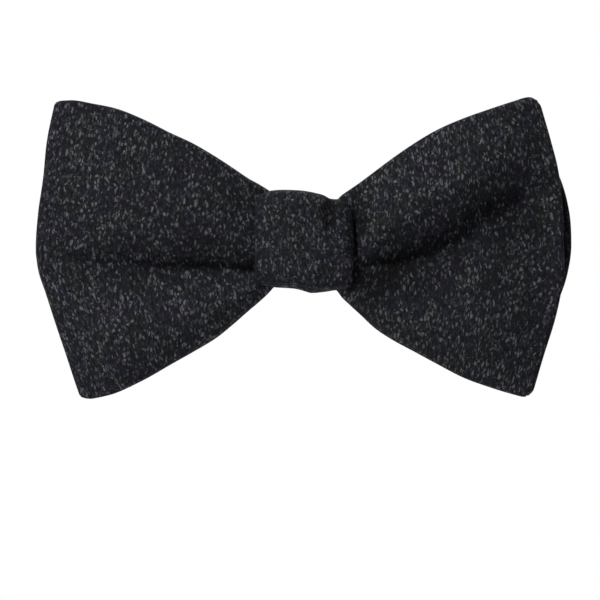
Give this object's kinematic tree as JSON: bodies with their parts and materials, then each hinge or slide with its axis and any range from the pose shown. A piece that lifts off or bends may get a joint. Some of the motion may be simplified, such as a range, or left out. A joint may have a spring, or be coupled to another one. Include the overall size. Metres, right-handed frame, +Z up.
{
  "type": "bow tie",
  "caption": "Ready-tied butterfly bow tie in flecked fabric, with a wrapped knot and a neckband that adjusts by a slide and fastens with a hook and eye.",
  "frame": {"origin": "centre of the collar opening, at half the height of the neckband", "axes": "+Z up the wearer's neck, -Y towards the front of the bow, +X to the viewer's right when facing the bow"},
  "size_m": [0.1247, 0.1408, 0.0673],
  "materials": {
    "face_fabric": "matte wool-blend weave, near black with pale flecks",
    "lining": "matte plain weave",
    "band_fabric": "matte wool-blend weave",
    "interlining": "unbleached woven stiffener",
    "thread": "sewing thread",
    "metal": "nickel-plated wire and strip"
  },
  "bodies": {
    "bow": {"front_bow_face": "face_fabric", "front_bow_interlining": "interlining", "front_bow_lining": "lining", "back_bow_face": "face_fabric", "back_bow_interlining": "interlining", "back_bow_lining": "lining", "knot_wrap": "face_fabric", "knot_interlining": "interlining", "knot_stitches": "thread", "band_centre_cover": "band_fabric", "band_centre_stiffener": "interlining"},
    "left_band": {"left_band_cover": "band_fabric", "left_band_stiffener": "interlining"},
    "hook_end": {"hook_end_loop": "band_fabric"},
    "slide": {"slide_adjuster": "metal", "slide_tab": "band_fabric", "slide_tab_stitches": "thread"},
    "hook": {"band_hook": "metal"},
    "right_band": {"right_band_cover": "band_fabric", "right_band_stiffener": "interlining", "eye_tab": "band_fabric", "eye_tab_stitches": "thread"},
    "eye": {"band_eye": "metal"}
  },
  "joints": [
    {"name": "left_flex", "type": "hinge", "parent": "bow", "child": "left_band", "pos_m": [-0.04426, -0.04426, 0], "axis": [0, 0, 1], "range_deg": [0, 60]},
    {"name": "right_flex", "type": "hinge", "parent": "bow", "child": "right_band", "pos_m": [0.04144, -0.04144, 0], "axis": [0, 0, -1], "range_deg": [0, 60]},
    {"name": "band_length", "type": "hinge", "parent": "left_band", "child": "hook_end", "pos_m": [0, 0, 0], "axis": [0, 0, -1], "range_deg": [-16, 12]},
    {"name": "slide_along_band", "type": "hinge", "parent": "hook_end", "child": "slide", "pos_m": [0, 0, 0], "axis": [0, 0, -1], "range_deg": [-16, 12]},
    {"name": "hook_swing", "type": "hinge", "parent": "hook_end", "child": "hook", "pos_m": [-0.00726, 0.06087, 0], "axis": [0, 0, 1], "range_deg": [-50, 50]},
    {"name": "eye_swing", "type": "hinge", "parent": "right_band", "child": "eye", "pos_m": [0.028, 0.05267, 0], "axis": [0, 0, 1], "range_deg": [-50, 50]}
  ],
  "couplings": [
    {"joint": "slide_along_band", "follows": "band_length", "ratio": 1}
  ]
}
